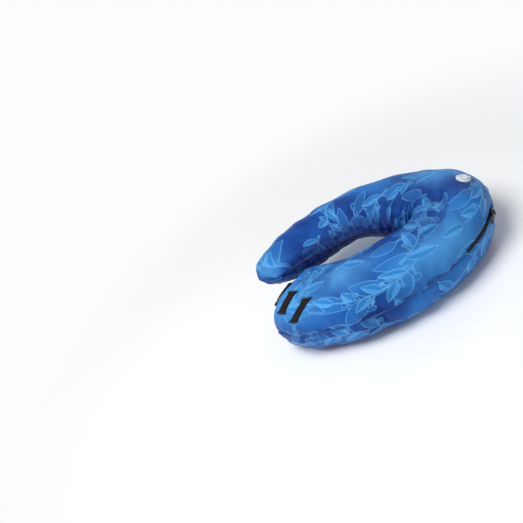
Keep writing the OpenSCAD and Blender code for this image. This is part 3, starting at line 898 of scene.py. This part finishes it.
def pileTape(kind):
    n = Nodes(kind + "Pile")
    dark, light = (linear(*c) for c in strips[kind + "Colours"])
    lay, grain = n.flow(), strips[kind + "Grain"]
    cells = n.add("TexVoronoi", {"Vector": lay, "Scale": grain, "Randomness": 0.8}).outputs["Distance"]
    curl = n.noise(grain * 1.7, 3, 0.6, lay)
    tuft = n.math("MULTIPLY", n.band(cells, 0.75, 0.1), curl)
    worn = n.mix(n.noise(190, 2, 0.5, lay), light, linear(*strips["wornColour"]))
    shade = n.mix(n.band(tuft, 0.05, 0.6), dark, worn)
    shade = n.mix(n.band(n.mark("tapeEdge"), 0.66, 0.9), shade, linear(*strips["hemColour"]))
    n.set(Base_Color=shade, Roughness=0.88, Specular_IOR_Level=0.2, Sheen_Weight=0.05, Sheen_Roughness=0.5,
          Normal=n.bump(tuft, 0.0006, 0.8))
    return n.material


def tackThread():
    n = Nodes("tackThread")
    rows = n.wave(n.objectPlace(), 500, 2.0)
    return n.finish(rows, strips["tackColours"], 0.55, rows, 0.0002, 0.5)


def stripPoint(lie, f, across, lift):  # at a share f of a strip's length, across it and above the cover
    angle, first, last, slant = lie
    turn = first + (last - first) * f
    middle = angle + slant * (f - 0.5)
    perDegree = np.linalg.norm(tubePoint(middle + 0.5, turn) - tubePoint(middle - 0.5, turn), axis=-1)
    return tubePoint(middle + across / perDegree, turn, lift)


def stripPiece(name, lie, material):
    spine = stripPoint(lie, np.linspace(0, 1, strips["spineSteps"]), 0.0, 0.0)
    length = np.linalg.norm(np.diff(spine, axis=0), axis=1).sum()
    least = strips["endLeast"]

    def place(u, v):
        phi = 2 * np.pi * v
        ends = least + (1 - least) * roundOff(np.minimum(u, 1 - u) * length / strips["endRound"], 2.0)
        flare = 1 + strips["flare"] * rise(np.abs(2 * u - 1), *strips["flareSpan"])
        across = fuller(np.cos(phi), strips["flatPower"]) * strips["width"] / 2 * ends * flare
        high = fuller(np.sin(phi), strips["highPower"])
        lift = strips["gap"] + strips["thick"] / 2 * (1 + high * ends)
        return stripPoint(lie, u, across, lift)

    def marks(u, v):
        flat = fuller(np.cos(2 * np.pi * v), strips["flatPower"])
        return {"flowU": u * length, "flowV": flat * strips["width"] / 2,
                "tapeEdge": np.maximum(np.abs(flat), np.abs(2 * u - 1))}

    mesh = wrappedGrid(name, strips["rows"], strips["columns"], place, closed=True, marks=marks)
    layFlow(mesh, readMark(mesh, "flowU"), readMark(mesh, "flowV"))
    return newObject(name, mesh, material), length


def stitchesOn(name, lie, length, material):  # edge stitches and the bar tack at each end
    bm = bmesh.new()
    step = strips["stitchStep"] / length
    edge = strips["width"] / 2 - strips["stitchInset"]
    half = strips["tackStitches"] // 2

    def spot(f, across):
        return stripPoint(lie, np.array([f]), across, strips["gap"] + strips["thick"])[0]

    def lay(f, across, size):
        centre = spot(f, across)
        x = Vector(spot(f + strips["stepAhead"], across) - centre).normalized()
        y = Vector(spot(f, across + strips["stepAside"]) - centre)
        y = (y - x * y.dot(x)).normalized()
        turn = Matrix((x, y, x.cross(y))).transposed().to_4x4()
        bmesh.ops.create_uvsphere(bm, u_segments=8, v_segments=5, radius=0.5,
                                  matrix=Matrix.Translation(centre) @ turn @ Matrix.Diagonal((*size, 1)))

    for across in (-edge, edge):
        for i in range(2, int(1 / step) - 1):
            lay(i * step, across, strips["stitchSize"])
    for end in strips["tackEnds"]:
        for i in range(-half, half + 1):
            lay(end + strips["tackStagger"] * (i % 2), i * strips["tackPitch"], strips["tackSize"])
    bmesh.ops.recalc_face_normals(bm, faces=bm.faces[:])
    return newObject(name, meshFrom(bm, name), material)


def addStrips():
    piles, thread = {kind: pileTape(kind) for kind in ("loop", "hook")}, tackThread()
    for i in range(strips["count"]):
        number = str(i + 1)
        for kind, body in (("loop", "near_limb"), ("hook", "far_limb")):
            lie = stripLie(kind, i)
            tape, length = stripPiece(kind + "Strip" + number, lie, piles[kind])
            sewing = stitchesOn(kind + "Stitches" + number, lie, length, thread)
            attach(tape, body)
            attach(sewing, body)
            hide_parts(kind + "_strip_" + number)


addStrips()

print("zip")
zipPieces = {  # in metres and degrees
    "bevel": 0.00022, "toothBevel": 0.00016, "sharp": 35, "flat": 1, "shadeAngle": 50, "merge": 2e-6,
    "tapeColours": ((12, 12, 15), (38, 38, 44)), "teethColours": ((16, 16, 19), (34, 34, 40)),
    "metalColours": ((38, 39, 44), (92, 94, 100)),
}


def zipTwill():
    n = Nodes("zipTwill")
    ribs = n.wave(n.objectPlace(), 620, 0.8, "DIAGONAL")
    return n.finish(ribs, zipPieces["tapeColours"], 0.8, ribs, 0.0002, 0.6)


def zipTeethPlastic():
    n = Nodes("zipTeethPlastic")
    scuff = n.noise(700, 3)
    return n.finish(scuff, zipPieces["teethColours"], 0.42, scuff, 0.00008, 0.3)


def zipMetalPaint():
    n = Nodes("zipMetalPaint")
    wear = n.noise(260, 4)
    worn, dull = n.band(wear, 0.5, 0.75), n.spread(wear, 0.3, 0.5)
    n.set(Metallic=0.75)
    return n.finish(worn, zipPieces["metalColours"], dull, n.noise(1400, 2), 0.00004, 0.3)


def bevelledCopy(name, node, width, material):  # a node's form with its sharp edges rounded
    bm = bmesh.new()
    bm.from_mesh(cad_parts[node].data)
    bmesh.ops.remove_doubles(bm, verts=bm.verts[:], dist=zipPieces["merge"])
    flat = math.radians(zipPieces["flat"])
    bmesh.ops.dissolve_limit(bm, angle_limit=flat, verts=bm.verts[:], edges=bm.edges[:])
    sharp = [e for e in bm.edges if e.is_manifold and e.calc_face_angle() > math.radians(zipPieces["sharp"])]
    bmesh.ops.bevel(bm, geom=sharp, offset=width, offset_type="OFFSET", segments=2, profile=0.5,
                    affect="EDGES", material=-1, clamp_overlap=True)
    bmesh.ops.recalc_face_normals(bm, faces=bm.faces[:])
    obj = newObject(name, meshFrom(bm, name), material)
    obj.data.set_sharp_from_angle(angle=math.radians(zipPieces["shadeAngle"]))
    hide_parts(node)
    return obj


def dressNode(node, material):  # a node that shows as the solids have it
    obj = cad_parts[node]
    obj.data.materials.clear()
    obj.data.materials.append(material)


def addZip():
    tape, teeth, metal = zipTwill(), zipTeethPlastic(), zipMetalPaint()
    for side in ("upper", "lower"):
        dressNode("zip_tape_" + side, tape)
        row = bevelledCopy("zipTeeth" + side.title(), "zip_teeth_" + side, zipPieces["toothBevel"], teeth)
        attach(row, "near_limb")
    metalPieces = (("zipStops", "zip_stops", "near_limb"), ("zipSlider", "zip_slider", "zip_slider"),
                   ("zipPull", "zip_pull", "zip_pull"))
    for name, node, body in metalPieces:
        piece = bevelledCopy(name, node, zipPieces["bevel"], metal)
        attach(piece, body)


addZip()

print("valve")


def valvePlace():
    angle, turn = valve["angle"], valve["turn"]
    across = tubePoint(angle + 0.5, turn) - tubePoint(angle - 0.5, turn)
    over = tubePoint(angle, turn - 1) - tubePoint(angle, turn + 1)
    axis = -np.cross(across, over)
    axis /= np.linalg.norm(axis)
    tilt, way = math.acos(axis[2]), math.atan2(axis[1], axis[0])
    upright = Matrix.Rotation(way, 4, "Z") @ Matrix.Rotation(tilt, 4, "Y")
    return Matrix.Translation(tubePoint(angle, turn)) @ upright


def lathed(bm, profile, closed=True):  # a profile of radius and height pairs spun into a full turn
    ring = [bm.verts.new((r, 0, z)) for r, z in profile]
    edges = [bm.edges.new(pair) for pair in zip(ring, ring[1:] + (ring[:1] if closed else []))]
    bmesh.ops.spin(bm, geom=ring + edges, axis=(0, 0, 1), cent=(0, 0, 0), angle=2 * math.pi,
                   steps=valve["steps"], use_merge=True)


def arcOf(cx, cz, radius, start, end, count=5):  # points of an arc in a profile
    return [(cx + radius * math.cos(math.radians(a)), cz + radius * math.sin(math.radians(a)))
            for a in np.linspace(start, end, count)]


def valveVinyl():
    n = Nodes("valveVinyl")
    dust = n.band(n.noise(320, 3), 0.35, 0.75)
    n.set(Subsurface_Weight=0.15, Subsurface_Radius=(0.002, 0.002, 0.002))
    return n.finish(dust, valve["colours"], 0.36, n.noise(1500, 2), 0.00003, 0.3)


def vinylPiece(bm, name, place, vinyl):  # sets a shape made upright at the origin in its place on the cover
    bmesh.ops.recalc_face_normals(bm, faces=bm.faces[:])
    bmesh.ops.transform(bm, matrix=place, verts=bm.verts[:])
    obj = newObject(name, meshFrom(bm, name), vinyl)
    obj.data.set_sharp_from_angle(angle=math.radians(valve["shadeAngle"]))
    return obj


def valveBody(place, vinyl):  # collar, stem and the flange that is welded to the film
    v, soft = valve, valve["round"]
    top = v["gap"] + v["collarThick"]
    low = -v["flangeDrop"] - v["flangeThick"]
    outline = [(v["bore"], -v["stemLong"])]
    outline += arcOf(v["bore"] + soft, top - soft, soft, 180, 90)
    outline += arcOf(v["collar"] - soft, top - soft, soft, 90, 0)
    outline += [(v["collar"], v["gap"]), (v["stem"], v["gap"] * 0.5), (v["stem"], -v["flangeDrop"])]
    outline += [(v["flange"], -v["flangeDrop"]), (v["flange"], low)]
    outline += [(v["stem"], low), (v["stem"], -v["stemLong"])]
    bm = bmesh.new()
    lathed(bm, outline)
    return vinylPiece(bm, "valveBody", place, vinyl)


def valvePlug(place, vinyl):  # tapered plug under a dished cap, with the strap it swings on
    v, soft = valve, valve["round"]
    seat = v["gap"] + v["collarThick"] + v["gap"]
    lip, tip = seat + v["capThick"], seat - v["plugLong"]
    plug = v["bore"] - v["plugPlay"]
    outline = [(0.0, tip), (plug - v["plugTaper"], tip), (plug, seat), (v["cap"] - soft * 0.5, seat)]
    outline += arcOf(v["cap"] - soft, lip - soft, soft, 0, 90)
    outline += arcOf(v["cap"] * v["dish"], lip - v["dishDeep"], v["dishDeep"], 90, 180, 4)
    outline += [(0.0, lip - v["dishDeep"])]
    bm = bmesh.new()
    lathed(bm, outline, closed=False)
    bmesh.ops.remove_doubles(bm, verts=bm.verts[:], dist=1e-6)
    strapStart = v["cap"] * v["strapFrom"]
    strapLong = v["collar"] - strapStart
    strapAt = Matrix.Translation((strapStart + strapLong / 2, 0, seat + v["capThick"] / 4))
    strapSize = Matrix.Diagonal((strapLong, v["strap"], v["capThick"] / 2, 1))
    made = bmesh.ops.create_cube(bm, size=1, matrix=strapAt @ strapSize)
    edges = {e for vert in made["verts"] for e in vert.link_edges}
    bmesh.ops.bevel(bm, geom=list(edges), offset=v["strapRound"], offset_type="OFFSET", segments=2,
                    profile=0.5, affect="EDGES", material=-1)
    return vinylPiece(bm, "valvePlug", place, vinyl)


def addValve():
    place, vinyl = valvePlace(), valveVinyl()
    body = valveBody(place, vinyl)
    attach(body, "near_limb")
    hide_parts("valve_body")
    plug = valvePlug(place, vinyl)
    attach(plug, "valve_plug")
    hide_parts("valve_plug")
    dressNode("valve_flap", vinyl)


addValve()

print("bladder")
bladder = {  # lies slack inside the cover, in metres and degrees
    "depth": 0.012, "depthShare": 0.5, "rows": 90, "columns": 40, "split": 30, "endInset": 9,
    "colours": ((176, 196, 222), (206, 220, 238)),
}


def bladderFilm():
    n = Nodes("bladderFilm")
    return n.finish(n.noise(60, 3), bladder["colours"], 0.3, n.noise(240, 2), 0.0002, 0.2)


def bladderPiece(name, start, end, film):
    def place(u, v):
        angle = start + (end - start) * u
        lift = -np.minimum(bladder["depth"], tubeSizes(angle)[1] * bladder["depthShare"])
        return tubePoint(angle, 360 * v - 180, lift)

    mesh = wrappedGrid(name, bladder["rows"], bladder["columns"], place, closed=True)
    return newObject(name, mesh, film)


def addBladder():
    film, inset, split, flex = bladderFilm(), bladder["endInset"], bladder["split"], tube["flexAngle"]
    spans = {"near": (inset - tube["tuckAngle"], flex - split),
             "far": (flex + split, tube["tipAngle"] - inset)}
    for limb, (start, end) in spans.items():
        piece = bladderPiece("bladder" + limb.title(), start, end, film)
        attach(piece, limb + "_limb")
        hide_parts("bladder_upper_" + limb, "bladder_lower_" + limb)


addBladder()
